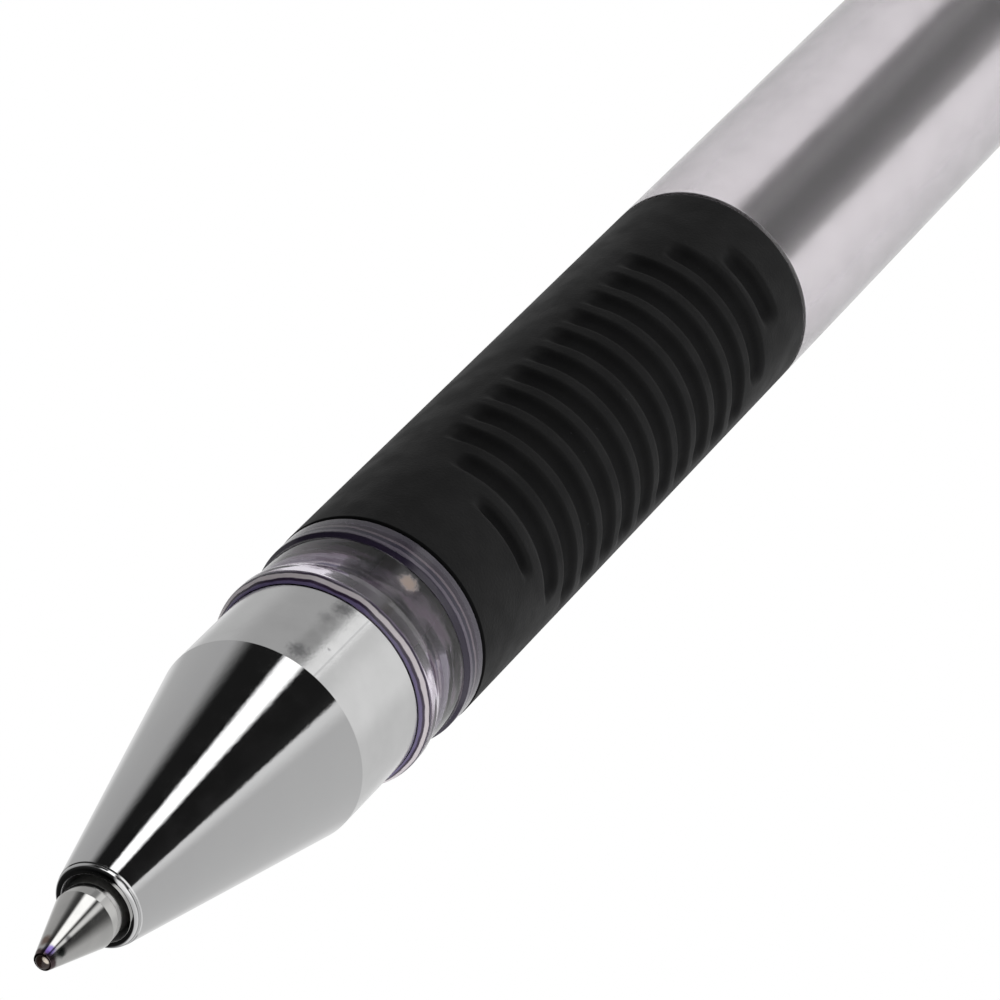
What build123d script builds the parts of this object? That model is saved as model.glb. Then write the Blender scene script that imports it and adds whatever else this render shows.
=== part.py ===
"""A capped gel pen, lying along X with its writing tip at the origin and its cap posted on the rear.

Stations are measured along the pen's axis from the front of the writing ball, in millimetres, and
every turned piece is given by its half-section: points of (station, radius) revolved about X.
"""
from build123d import *
from math import cos, radians, sin, tan
import os

os.makedirs("parts", exist_ok=True)

# ---- Driving dimensions -------------------------------------------------------------------------
PEN_RADIUS = 5.0            # barrel and grip
FIT_GAP = 0.08              # radial clearance of a sliding fit

# Writing ball and metal tip
BALL_RADIUS = 0.35
SOCKET_RADIUS = 0.37
RIM_STATION = 0.2           # front edge of the lip that holds the ball
RIM_FACE_RADIUS = 0.38
RIM_RADIUS = 0.478
RIM_LENGTH = 0.28
TIP_SHANK_RADIUS = 1.31
TIP_SHANK_STATION = 3.25    # where the cone of the tip meets its shank
TIP_STEM_RADIUS = 1.0       # thinner end pressed into the holder
TIP_REAR = 12.4

# Ink channel through the metal tip, from the ball backwards
THROAT_RADIUS = 0.12
THROAT_START, THROAT_END = 0.5, 1.2
FEED_RADIUS = 0.25
FEED_START, FEED_END = 1.3, 3.4
INK_BORE_START = 4.0
INK_BORE_RADIUS = 0.55

# Plastic holder between the metal tip and the tube
HOLDER_FRONT = 7.4
HOLDER_FRONT_RADIUS = 1.75
HOLDER_CHAMFER = 0.2
HOLDER_FLANGE_STATION = 12.0
HOLDER_FLANGE_RADIUS = 2.5
HOLDER_REAR = 20.0
HOLDER_BORE_RADIUS = 0.8
HOLDER_LEAD = 0.4           # tapered end that finds the tube

# Tube, ink and follower
TUBE_FRONT = 13.5
TUBE_REAR = 129.0
TUBE_RADIUS = 1.675
TUBE_BORE_RADIUS = 1.3
INK_REAR = 104.0
FOLLOWER_REAR = 112.0

# Nose cone
MOUTH_STATION = 4.15
MOUTH_BORE_RADIUS = 1.5
MOUTH_FACE_RADIUS = 1.7     # flat ring at the very front
MOUTH_ROUND_STATION = 4.183
MOUTH_ROUND_RADIUS = 1.794
CONE_FRONT = 4.268
CONE_FRONT_RADIUS = 1.847
EDGE_STATION = 16.95        # sharp edge between the cone and the rear band
BAND_RADIUS = 4.62
NOSE_REAR = 21.585
MOUTH_BORE_END = 5.6
INNER_CONE_START, INNER_CONE_START_RADIUS = 7.0, 1.9
INNER_CONE_END, INNER_CONE_END_RADIUS = 15.6, 3.5
FEMALE_ROOT_START = 15.9

# Screw thread between the nose cone and the barrel
PITCH = 1.0
MALE_ROOT_RADIUS = 3.35
MALE_CREST_RADIUS = 3.7
MALE_START, MALE_TURNS = 16.7, 4.2
FEMALE_ROOT_RADIUS = 3.8
FEMALE_CREST_RADIUS = 3.45
FEMALE_START, FEMALE_TURNS = 17.2, 3.9
TOOTH_HALF_WIDTH = 0.21     # half a tooth's width at mid-depth
FLANK_ANGLE = 30.0
THREAD_EMBED = 0.06         # how far a tooth's base is sunk into its own wall

# Threaded spigot and collar of the barrel
SPIGOT_FRONT = 13.6
SPIGOT_PILOT_RADIUS = 2.7
PILOT_END = 16.0
COLLAR_FRONT = 21.6
BEAD_STATION = 22.35
BEAD_RADIUS = 4.95
NECK_FRONT = 23.05
NECK_RADIUS = 4.8
RIM_FRONT = 25.2
COLLAR_RIM_RADIUS = 4.97
EDGE_BREAK = 0.2            # chamfer on the barrel's outside corners

# Grip seat, bores and rear end of the barrel
GRIP_FRONT = 26.585
GRIP_REAR = 57.125
GRIP_SEAT_RADIUS = 4.3
GRIP_EDGE = 0.3             # chamfer on the grip's ends and on the shoulder behind it
FRONT_BORE_RADIUS = 1.78    # short guide that centres the refill tube
FRONT_BORE_END = 17.0
COLLAR_BORE_RADIUS = 2.8
COLLAR_BORE_START, COLLAR_BORE_END = 18.0, 33.0
GRIP_BORE_RADIUS = 3.3
GRIP_BORE_START, GRIP_BORE_END = 34.5, 54.0
MAIN_BORE_RADIUS = 3.8
MAIN_BORE_START = 59.0
POST_SHOULDER = 117.0
POST_RADIUS = 4.8
BARREL_REAR = 137.0

# End plug
PLUG_FRONT = 131.0
PLUG_REAR = 139.0
PLUG_HEAD_RADIUS = 4.6
PLUG_HEAD_CHAMFER = 0.6
PLUG_LEAD = 0.3             # tapered front of its stem
PLUG_VENT_RADIUS = 0.6

# Finger pads of the grip
PAD_ANGLE = 51.9            # from straight up towards -Y
GROOVE_COUNT = 14
FIRST_GROOVE = 30.9
GROOVE_PITCH = 1.786
GROOVE_WIDTH = 1.05
GROOVE_DEPTH = 0.3
GROOVE_OVERSHOOT = 1.0      # how far a groove's cutter stands out of the grip
PAD_HALF_ANGLE = 57.0
SHOULDER_HALF_ANGLE = 44.0
END_HALF_ANGLE = 20.0

# Cap. The depths are measured from its mouth
CAP_MOUTH = 117.2
CAP_MOUTH_RADIUS = 6.0
CAP_MOUTH_CHAMFER = 0.2
CAP_TOP_RADIUS = 5.85
CAP_BORE_RADIUS = 5.15
SNAP_START, SNAP_END = 0.8, 1.4
SNAP_SLOPE = 0.27
CAP_LEDGE = 38.5
CAP_POCKET = 40.0
CAP_SHELL_LENGTH = 42.0
CAP_POCKET_RADIUS = 4.9
INNER_CAP_RADIUS = 2.8
INNER_CAP_FRONT = 22.8
INNER_CAP_REAR = 41.0
SEAL_RADIUS = 1.65          # blind bore that closes over the metal tip
SEAL_BOTTOM = 25.25
SEAL_BOTTOM_RADIUS = 1.3
SEAL_TAPER = 0.6
CORE_RADIUS = 1.9           # hollow behind the seal
CORE_FRONT = 27.0
CROWN_REAR = 45.5
CROWN_CHAMFER = 1.0
CROWN_VENT_RADIUS = 0.9

# Pocket clip. Its stations are measured from the cap's mouth
CLIP_ANGLE = 62.0           # from straight down towards +Y, so that clip and cap both touch a table
CLIP_GAUGE = 0.6
CLIP_WIDTH = 3.8
CLIP_ROOT = 42.45
CLIP_ROOT_RADIUS = 4.5
CLIP_OUTER_RADIUS = 8.2     # from the pen's axis to the middle of the strip
CLIP_BEND, CLIP_BEND_RADIUS = 11.0, 7.6
CLIP_BUMP, CLIP_BUMP_RADIUS = 8.2, 6.35
CLIP_TIP, CLIP_TIP_RADIUS = 6.0, 8.0
CLIP_CORNER = 1.0
NOTCH_MIDDLE_RADIUS = 5.9
NOTCH_HEIGHT = 3.4
NOTCH_MARGIN = 0.2


def half_section(*points):
    """The closed half-section of a turned piece, from points of (station, radius)."""
    with BuildSketch(Plane.XY) as section:
        with BuildLine():
            Polyline(*points, close=True)
        make_face()
    return section.sketch


def from_cap_mouth(*points):
    """The same, from points of (depth in the cap, radius)."""
    return half_section(*[(CAP_MOUTH + depth, radius) for depth, radius in points])


def tooth(middle_radius, direction, base_radius):
    """A thread tooth's section in a plane whose Y runs outwards, pointing in the given direction."""
    slope = tan(radians(FLANK_ANGLE))
    crest = direction * (MALE_CREST_RADIUS - MALE_ROOT_RADIUS) / 2
    base = base_radius - middle_radius - direction * THREAD_EMBED
    crest_half = TOOTH_HALF_WIDTH - abs(crest) * slope
    base_half = TOOTH_HALF_WIDTH + abs(base) * slope
    return [(-base_half, base), (-crest_half, crest), (crest_half, crest), (base_half, base)]


def thread(start, turns, root_radius, crest_radius):
    """A helical thread round X, to be joined to the wall at its root."""
    middle_radius = (root_radius + crest_radius) / 2
    direction = 1 if crest_radius > root_radius else -1
    helix = Helix(PITCH, turns * PITCH, middle_radius, center=(start, 0, 0), direction=(1, 0, 0))
    begin = helix @ 0
    outwards = Vector(0, begin.Y, begin.Z).normalized()
    across = Plane(origin=begin, x_dir=(1, 0, 0), z_dir=Vector(1, 0, 0).cross(outwards))
    with BuildPart() as ridge:
        with BuildSketch(across):
            with BuildLine():
                Polyline(*tooth(middle_radius, direction, root_radius), close=True)
            make_face()
        sweep(path=helix, is_frenet=True)
    return ridge.part


def groove_cutter(station, middle_angle, half_angle):
    """What one groove takes out of the grip, centred on an angle from straight up towards -Y."""
    begin = radians(middle_angle - half_angle)
    radial = Vector(0, -sin(begin), cos(begin))
    plane = Plane(origin=(station, 0, 0), x_dir=(1, 0, 0), z_dir=Vector(1, 0, 0).cross(radial))
    floor = PEN_RADIUS - GROOVE_DEPTH
    height = GROOVE_DEPTH + GROOVE_OVERSHOOT
    with BuildPart() as sector:
        with BuildSketch(plane):
            with Locations((0, floor + height / 2)):
                Rectangle(GROOVE_WIDTH, height)
        revolve(axis=Axis.X, revolution_arc=2 * half_angle)
    return sector.part


def groove_half_angle(index):
    """How far a groove reaches each way from the middle of its pad: less at the pad's two ends."""
    from_end = min(index, GROOVE_COUNT - 1 - index)
    return {0: END_HALF_ANGLE, 1: SHOULDER_HALF_ANGLE}.get(from_end, PAD_HALF_ANGLE)


# ---- Refill -------------------------------------------------------------------------------------
with BuildPart() as writing_ball:
    with Locations((BALL_RADIUS, 0, 0)):
        Sphere(BALL_RADIUS)

with BuildPart() as tip_body:
    revolve(half_section(
        (RIM_STATION, 0),
        (RIM_STATION, RIM_FACE_RADIUS),
        (RIM_STATION + RIM_LENGTH, RIM_RADIUS),
        (TIP_SHANK_STATION, TIP_SHANK_RADIUS),
        (HOLDER_FRONT, TIP_SHANK_RADIUS),
        (HOLDER_FRONT, TIP_STEM_RADIUS),
        (TIP_REAR, TIP_STEM_RADIUS),
        (TIP_REAR, 0)), axis=Axis.X)
    revolve(half_section(
        (THROAT_START, 0),
        (THROAT_START, THROAT_RADIUS),
        (THROAT_END, THROAT_RADIUS),
        (FEED_START, FEED_RADIUS),
        (FEED_END, FEED_RADIUS),
        (INK_BORE_START, INK_BORE_RADIUS),
        (TIP_REAR, INK_BORE_RADIUS),
        (TIP_REAR, 0)), axis=Axis.X, mode=Mode.SUBTRACT)
    with Locations((BALL_RADIUS, 0, 0)):
        Sphere(SOCKET_RADIUS, mode=Mode.SUBTRACT)

with BuildPart() as tip_holder:
    revolve(half_section(
        (HOLDER_FRONT, TIP_STEM_RADIUS),
        (HOLDER_FRONT, HOLDER_FRONT_RADIUS - HOLDER_CHAMFER),
        (HOLDER_FRONT + HOLDER_CHAMFER, HOLDER_FRONT_RADIUS),
        (HOLDER_FLANGE_STATION, HOLDER_FLANGE_RADIUS),
        (TUBE_FRONT, HOLDER_FLANGE_RADIUS),
        (TUBE_FRONT, TUBE_BORE_RADIUS),
        (HOLDER_REAR - HOLDER_LEAD, TUBE_BORE_RADIUS),
        (HOLDER_REAR, TUBE_BORE_RADIUS - HOLDER_LEAD / 2),
        (HOLDER_REAR, HOLDER_BORE_RADIUS),
        (TIP_REAR, HOLDER_BORE_RADIUS),
        (TIP_REAR, TIP_STEM_RADIUS)), axis=Axis.X)

with BuildPart() as refill_tube:
    revolve(half_section(
        (TUBE_FRONT, TUBE_BORE_RADIUS),
        (TUBE_FRONT, TUBE_RADIUS),
        (TUBE_REAR, TUBE_RADIUS),
        (TUBE_REAR, TUBE_BORE_RADIUS)), axis=Axis.X)

with BuildPart() as ink_column:
    revolve(half_section(
        (INK_BORE_START, 0),
        (INK_BORE_START, INK_BORE_RADIUS),
        (TIP_REAR, INK_BORE_RADIUS),
        (TIP_REAR, HOLDER_BORE_RADIUS),
        (HOLDER_REAR, HOLDER_BORE_RADIUS),
        (HOLDER_REAR, TUBE_BORE_RADIUS),
        (INK_REAR, TUBE_BORE_RADIUS),
        (INK_REAR, 0)), axis=Axis.X)

with BuildPart() as ink_follower:
    revolve(half_section(
        (INK_REAR, 0),
        (INK_REAR, TUBE_BORE_RADIUS),
        (FOLLOWER_REAR, TUBE_BORE_RADIUS),
        (FOLLOWER_REAR, 0)), axis=Axis.X)

# ---- Nose cone ----------------------------------------------------------------------------------
female_thread = thread(FEMALE_START, FEMALE_TURNS, FEMALE_ROOT_RADIUS, FEMALE_CREST_RADIUS)

with BuildPart() as nose_cone:
    with BuildSketch(Plane.XY):
        with BuildLine():
            mouth_face = Line((MOUTH_STATION, MOUTH_BORE_RADIUS), (MOUTH_STATION, MOUTH_FACE_RADIUS))
            mouth_round = ThreePointArc(mouth_face @ 1, (MOUTH_ROUND_STATION, MOUTH_ROUND_RADIUS),
                                        (CONE_FRONT, CONE_FRONT_RADIUS))
            Polyline(
                mouth_round @ 1,
                (EDGE_STATION, BAND_RADIUS),
                (NOSE_REAR, BAND_RADIUS),
                (NOSE_REAR, FEMALE_ROOT_RADIUS),
                (FEMALE_ROOT_START, FEMALE_ROOT_RADIUS),
                (INNER_CONE_END, INNER_CONE_END_RADIUS),
                (INNER_CONE_START, INNER_CONE_START_RADIUS),
                (MOUTH_BORE_END, MOUTH_BORE_RADIUS),
                mouth_face @ 0)
        make_face()
    revolve(axis=Axis.X)
    add(female_thread)

# ---- Barrel, grip and end plug ------------------------------------------------------------------
male_thread = thread(MALE_START, MALE_TURNS, MALE_ROOT_RADIUS, MALE_CREST_RADIUS)

with BuildPart() as barrel:
    with BuildSketch(Plane.XY):
        with BuildLine():
            spigot = Polyline(
                (SPIGOT_FRONT, FRONT_BORE_RADIUS),
                (SPIGOT_FRONT, SPIGOT_PILOT_RADIUS),
                (PILOT_END, SPIGOT_PILOT_RADIUS),
                (PILOT_END + EDGE_BREAK, MALE_ROOT_RADIUS),
                (COLLAR_FRONT, MALE_ROOT_RADIUS),
                (COLLAR_FRONT, BAND_RADIUS))
            bead = ThreePointArc(spigot @ 1, (BEAD_STATION, BEAD_RADIUS), (NECK_FRONT, NECK_RADIUS))
            Polyline(
                bead @ 1,
                (RIM_FRONT, NECK_RADIUS),
                (RIM_FRONT + EDGE_BREAK, COLLAR_RIM_RADIUS),
                (GRIP_FRONT, COLLAR_RIM_RADIUS),
                (GRIP_FRONT, GRIP_SEAT_RADIUS),
                (GRIP_REAR, GRIP_SEAT_RADIUS),
                (GRIP_REAR, PEN_RADIUS - GRIP_EDGE),
                (GRIP_REAR + GRIP_EDGE, PEN_RADIUS),
                (POST_SHOULDER, PEN_RADIUS),
                (POST_SHOULDER + EDGE_BREAK, POST_RADIUS),
                (BARREL_REAR, POST_RADIUS),
                (BARREL_REAR, MAIN_BORE_RADIUS),
                (MAIN_BORE_START, MAIN_BORE_RADIUS),
                (GRIP_BORE_END, GRIP_BORE_RADIUS),
                (GRIP_BORE_START, GRIP_BORE_RADIUS),
                (COLLAR_BORE_END, COLLAR_BORE_RADIUS),
                (COLLAR_BORE_START, COLLAR_BORE_RADIUS),
                (FRONT_BORE_END, FRONT_BORE_RADIUS),
                spigot @ 0)
        make_face()
    revolve(axis=Axis.X)
    add(male_thread)

groove_cutters = [
    groove_cutter(FIRST_GROOVE + index * GROOVE_PITCH, pad_angle, groove_half_angle(index))
    for pad_angle in (PAD_ANGLE, PAD_ANGLE + 180)
    for index in range(GROOVE_COUNT)
]

with BuildPart() as grip_sleeve:
    revolve(half_section(
        (GRIP_FRONT, GRIP_SEAT_RADIUS),
        (GRIP_FRONT, PEN_RADIUS - GRIP_EDGE),
        (GRIP_FRONT + GRIP_EDGE, PEN_RADIUS),
        (GRIP_REAR - GRIP_EDGE, PEN_RADIUS),
        (GRIP_REAR, PEN_RADIUS - GRIP_EDGE),
        (GRIP_REAR, GRIP_SEAT_RADIUS)), axis=Axis.X)
    add(groove_cutters, mode=Mode.SUBTRACT)

with BuildPart() as end_plug:
    revolve(half_section(
        (PLUG_FRONT, PLUG_VENT_RADIUS),
        (PLUG_FRONT, MAIN_BORE_RADIUS - PLUG_LEAD),
        (PLUG_FRONT + PLUG_LEAD, MAIN_BORE_RADIUS),
        (BARREL_REAR, MAIN_BORE_RADIUS),
        (BARREL_REAR, PLUG_HEAD_RADIUS),
        (PLUG_REAR - PLUG_HEAD_CHAMFER, PLUG_HEAD_RADIUS),
        (PLUG_REAR, PLUG_HEAD_RADIUS - PLUG_HEAD_CHAMFER),
        (PLUG_REAR, PLUG_VENT_RADIUS)), axis=Axis.X)

# ---- Cap ----------------------------------------------------------------------------------------
with BuildPart() as cap_shell:
    snap_radius = POST_RADIUS + FIT_GAP
    revolve(from_cap_mouth(
        (0, CAP_BORE_RADIUS),
        (0, CAP_MOUTH_RADIUS - CAP_MOUTH_CHAMFER),
        (CAP_MOUTH_CHAMFER, CAP_MOUTH_RADIUS),
        (CAP_SHELL_LENGTH, CAP_TOP_RADIUS),
        (CAP_SHELL_LENGTH, CAP_POCKET_RADIUS),
        (CAP_POCKET, CAP_POCKET_RADIUS),
        (CAP_POCKET, INNER_CAP_RADIUS),
        (CAP_LEDGE, INNER_CAP_RADIUS),
        (CAP_LEDGE, CAP_BORE_RADIUS),
        (SNAP_END + SNAP_SLOPE, CAP_BORE_RADIUS),
        (SNAP_END, snap_radius),
        (SNAP_START, snap_radius),
        (SNAP_START - SNAP_SLOPE, CAP_BORE_RADIUS)), axis=Axis.X)

with BuildPart() as inner_cap:
    revolve(from_cap_mouth(
        (INNER_CAP_FRONT, SEAL_RADIUS),
        (INNER_CAP_FRONT, INNER_CAP_RADIUS),
        (CAP_POCKET, INNER_CAP_RADIUS),
        (CAP_POCKET, CAP_POCKET_RADIUS),
        (INNER_CAP_REAR, CAP_POCKET_RADIUS),
        (INNER_CAP_REAR, CORE_RADIUS),
        (CORE_FRONT, CORE_RADIUS),
        (CORE_FRONT, 0),
        (SEAL_BOTTOM, 0),
        (SEAL_BOTTOM, SEAL_BOTTOM_RADIUS),
        (SEAL_BOTTOM - SEAL_TAPER, SEAL_RADIUS)), axis=Axis.X)

# The clip's plane runs along the pen and outwards through the middle of the clip.
clip_outwards = Vector(0, sin(radians(CLIP_ANGLE)), -cos(radians(CLIP_ANGLE)))
clip_plane = Plane(origin=(CAP_MOUTH, 0, 0), x_dir=(1, 0, 0),
                   z_dir=Vector(1, 0, 0).cross(clip_outwards))

with BuildPart() as cap_crown:
    revolve(from_cap_mouth(
        (INNER_CAP_REAR, CROWN_VENT_RADIUS),
        (INNER_CAP_REAR, CAP_POCKET_RADIUS),
        (CAP_SHELL_LENGTH, CAP_POCKET_RADIUS),
        (CAP_SHELL_LENGTH, CAP_TOP_RADIUS),
        (CROWN_REAR - CROWN_CHAMFER, CAP_TOP_RADIUS),
        (CROWN_REAR, CAP_TOP_RADIUS - CROWN_CHAMFER),
        (CROWN_REAR, CROWN_VENT_RADIUS)), axis=Axis.X)
    # Notch that the clip's root comes out of.
    with BuildSketch(clip_plane):
        with Locations((CLIP_ROOT, NOTCH_MIDDLE_RADIUS)):
            Rectangle(2 * (CLIP_ROOT - CAP_SHELL_LENGTH), NOTCH_HEIGHT)
    extrude(amount=CLIP_WIDTH / 2 + NOTCH_MARGIN, both=True, mode=Mode.SUBTRACT)

with BuildPart() as pocket_clip:
    with BuildSketch(clip_plane):
        with BuildLine() as clip_line:
            FilletPolyline(
                (CLIP_ROOT, CLIP_ROOT_RADIUS),
                (CLIP_ROOT, CLIP_OUTER_RADIUS),
                (CLIP_BEND, CLIP_BEND_RADIUS),
                (CLIP_BUMP, CLIP_BUMP_RADIUS),
                (CLIP_TIP, CLIP_TIP_RADIUS),
                radius=CLIP_CORNER)
        trace(clip_line.line, line_width=CLIP_GAUGE)
    extrude(amount=CLIP_WIDTH / 2, both=True)

pieces = {
    "writing_ball": writing_ball, "tip_body": tip_body, "tip_holder": tip_holder,
    "refill_tube": refill_tube, "ink_column": ink_column, "ink_follower": ink_follower,
    "nose_cone": nose_cone, "barrel": barrel, "grip_sleeve": grip_sleeve, "end_plug": end_plug,
    "cap_shell": cap_shell, "inner_cap": inner_cap, "cap_crown": cap_crown,
    "pocket_clip": pocket_clip,
}
for name, piece in pieces.items():
    piece.part.label = name
    export_step(piece.part, f"parts/{name}.step")
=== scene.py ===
"""Looks of the gel pen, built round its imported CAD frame.

The pen lies along X with its writing tip at the origin. Outlines are given in millimetres as
(station along the pen, radius, corner fillet) and turned about X. Everything else is in metres.
"""
from math import atan2, cos, degrees, pi, radians, sin, tan

import bmesh
import bpy
from mathutils import Matrix, Vector


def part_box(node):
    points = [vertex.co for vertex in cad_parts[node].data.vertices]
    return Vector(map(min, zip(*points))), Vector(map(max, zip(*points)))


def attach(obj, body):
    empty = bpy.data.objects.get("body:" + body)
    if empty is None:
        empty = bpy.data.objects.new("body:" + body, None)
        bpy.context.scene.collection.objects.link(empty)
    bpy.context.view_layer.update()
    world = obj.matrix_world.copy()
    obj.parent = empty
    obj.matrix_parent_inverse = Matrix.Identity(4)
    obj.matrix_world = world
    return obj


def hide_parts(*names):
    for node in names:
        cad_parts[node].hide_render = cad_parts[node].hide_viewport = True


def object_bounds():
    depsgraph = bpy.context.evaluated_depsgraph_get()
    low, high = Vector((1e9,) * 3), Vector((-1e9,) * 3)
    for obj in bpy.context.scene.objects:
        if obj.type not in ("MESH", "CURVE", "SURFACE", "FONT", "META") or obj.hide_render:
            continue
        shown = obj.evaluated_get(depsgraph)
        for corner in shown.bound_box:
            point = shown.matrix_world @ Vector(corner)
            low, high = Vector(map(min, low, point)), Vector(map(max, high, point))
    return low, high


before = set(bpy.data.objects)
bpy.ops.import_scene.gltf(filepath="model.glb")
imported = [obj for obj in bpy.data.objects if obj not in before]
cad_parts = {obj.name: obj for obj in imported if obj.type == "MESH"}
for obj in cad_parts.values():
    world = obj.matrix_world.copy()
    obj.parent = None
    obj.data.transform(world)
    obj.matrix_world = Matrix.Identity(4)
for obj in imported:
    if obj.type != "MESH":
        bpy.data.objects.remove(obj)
CAD_LOW, CAD_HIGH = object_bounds()

MM = 0.001

# ---- Sizes taken from the frame -----------------------------------------------------------------


def span(node):
    """First station, last station and largest radius of a turned CAD node, in millimetres."""
    low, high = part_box(node)
    return low.x / MM, high.x / MM, high.z / MM


TIP_FRONT, TIP_REAR, SHANK_RADIUS = span("tip_body")
HOLDER_FRONT, HOLDER_REAR, FLANGE_RADIUS = span("tip_holder")
TUBE_FRONT, TUBE_REAR, TUBE_RADIUS = span("refill_tube")
_, INK_REAR, INK_RADIUS = span("ink_column")
FOLLOWER_FRONT, FOLLOWER_REAR, _ = span("ink_follower")
NOSE_FRONT, NOSE_REAR, BAND_RADIUS = span("nose_cone")
SPIGOT_FRONT, BARREL_REAR, PEN_RADIUS = span("barrel")
GRIP_FRONT, GRIP_REAR, GRIP_RADIUS = span("grip_sleeve")
PLUG_FRONT, PLUG_REAR, PLUG_RADIUS = span("end_plug")
CAP_FRONT, CAP_REAR, CAP_RADIUS = span("cap_shell")
INNER_FRONT, INNER_REAR, _ = span("inner_cap")
CROWN_FRONT, CROWN_REAR, CROWN_RADIUS = span("cap_crown")
BALL_RADIUS = span("writing_ball")[2]

# Sizes of the same pieces that their boxes don't give
CONE_EDGE = 16.95           # sharp edge between the nose's cone and its band
SHANK_START = 3.25          # where the tip's cone meets its shank
STEM_RADIUS = 1.0           # the tip's thinner rear, pressed into the holder
THROAT_RADIUS = 0.12        # ink hole right behind the ball
FEED_RADIUS = 0.25          # wider hole behind the throat
INK_BORE = 0.55
INK_BORE_START = 4.0
HOLDER_SHOULDER = 12.0      # where the holder's cone reaches its flange
HOLDER_BORE = 0.8
HOLDER_SPIGOT = 1.29        # the holder's rear, pressed into the tube
MOUTH_BORE = 1.5
MOUTH_BORE_END = 5.6
INNER_CONE_START, INNER_CONE_START_RADIUS = 7.0, 1.9
INNER_CONE_END, INNER_CONE_END_RADIUS = 15.6, 3.5
THREAD_BORE = 3.82          # the nose round the barrel's spigot. Its thread isn't drawn
THREAD_BORE_START = 15.9
THREAD_ROOT = 3.4           # the barrel's spigot, also without its thread
PILOT_RADIUS = 2.7          # the barrel's front, inside the nose
PILOT_END = 16.1
COLLAR_FRONT = NOSE_REAR + 0.015
COLLAR_RADIUS = 4.97        # bead and rim
NECK_RADIUS = 4.8
FRONT_BORE = 1.78           # guides the refill tube
FRONT_BORE_END = 17.0
COLLAR_BORE = 2.8
COLLAR_BORE_START, COLLAR_BORE_END = 18.0, 33.0
GRIP_BORE = 3.3
GRIP_BORE_START = 34.5
MAIN_BORE = 3.8
GRIP_SEAT = 4.3
GRIP_EDGE = 0.14            # rounding of the grip's ends and of the shoulder behind it
SEAT_GAP = 0.03             # air under the grip, so that its seat still reflects inside
POST_SHOULDER = 117.0       # where the barrel narrows for the posted cap
POST_RADIUS = 4.8
PLUG_VENT = 0.6
CAP_BORE = 5.15
POCKET_RADIUS = 4.9
INNER_RADIUS = 2.8
SEAL_RADIUS = 1.65          # blind hole that closes over the metal tip
CORE_RADIUS = 1.9           # hollow behind the seal
CROWN_VENT = 0.9
PRESSED = 0.01              # how far pressed pieces stop short of each other

# Finger pads
PAD_ANGLE = 51.9            # one pad's middle, from straight up towards -Y. The other is opposite.
GROOVE_COUNT = 14
FIRST_GROOVE = 30.9         # station of the first groove's middle
GROOVE_PITCH = 1.786
GROOVE_WIDTH = 1.2
FIRST_GROOVE_WIDTH = 0.7
GROOVE_DEPTH = 0.3
PAD_RECESS = 0.07           # how far the ribs between the grooves lie below the sleeve's surface
PAD_HALF_ANGLE = 57.0
END_HALF_ANGLES = {0: 20.0, 1: 44.0, GROOVE_COUNT - 2: 44.0, GROOVE_COUNT - 1: 20.0}
GROOVE_END_FADE = 12.0      # degrees over which a groove runs out
PAD_SIDE_FADE = 14.0        # degrees over which the pad's recess runs out
GROOVE_FOOT = 1.35          # where a groove's side ends, in half widths from its middle
GROOVE_SIDE = 1.05          # how long that side is, in half widths

# Stains on the nose's band: station, angle from TOWARDS towards ACROSS, inner and outer reach of
# the spot in millimetres, and how strongly it covers the chrome
STAINS = (
    (17.65, -19, 0.0, 0.60, 0.85),
    (21.15, -17, 0.0, 0.65, 0.75),
    (20.2, -21, 0.0, 0.50, 0.35),
    (18.7, -8, 0.02, 0.12, 0.6),
)

# The camera looks along VIEW, at 40.6 degrees to the pen. TOWARDS is the pen's side that faces it,
# and ACROSS lies at right angles to TOWARDS and the pen, towards the lower side of the picture.
VIEW = Vector((0.7591, 0.3909, -0.5204))
VIEW_RIGHT = Vector((0.4578, -0.8890, 0.0))
VIEW_UP = Vector((0.4627, 0.2382, 0.8539))
TOWARDS = Vector((0, -0.6006, 0.7995))
ACROSS = Vector((0, -0.7995, -0.6006))


# ---- Meshes -------------------------------------------------------------------------------------


def filleted(corners, steps=8):
    """The closed outline through corners of (station, radius, fillet), with its fillets as arcs."""
    points = []
    for index, (station, radius, fillet) in enumerate(corners):
        here = Vector((station, radius))
        if not fillet:
            points.append(here)
            continue
        back = (Vector(corners[index - 1][:2]) - here).normalized()
        ahead = (Vector(corners[(index + 1) % len(corners)][:2]) - here).normalized()
        half = back.angle(ahead) / 2
        centre = here + (back + ahead).normalized() * fillet / sin(half)
        begin = here + back * fillet / tan(half) - centre
        end = here + ahead * fillet / tan(half) - centre
        turn = begin.angle_signed(end)
        for step in range(steps + 1):
            points.append(centre + Matrix.Rotation(-turn * step / steps, 2) @ begin)
    return points


def with_guards(outline, guard=0.03, long=0.4):
    """Adds a point close to each end of the long straight runs, which keeps their shading flat."""
    points = []
    for index, here in enumerate(outline):
        here = Vector(here)
        run = Vector(outline[(index + 1) % len(outline)]) - here
        points.append(here)
        if run.length > long:
            points.append(here + run.normalized() * guard)
            points.append(here + run - run.normalized() * guard)
    return points


def mesh_object(name, vertices, faces, sharp_degrees=30):
    """A smooth-shaded mesh object with its normals outwards."""
    mesh = bpy.data.meshes.new(name)
    mesh.from_pydata(vertices, [], faces)
    work = bmesh.new()
    work.from_mesh(mesh)
    bmesh.ops.recalc_face_normals(work, faces=work.faces)
    work.to_mesh(mesh)
    work.free()
    mesh.polygons.foreach_set("use_smooth", [True] * len(mesh.polygons))
    mesh.set_sharp_from_angle(angle=radians(sharp_degrees))
    made = bpy.data.objects.new(name, mesh)
    bpy.context.scene.collection.objects.link(made)
    return made


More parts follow.
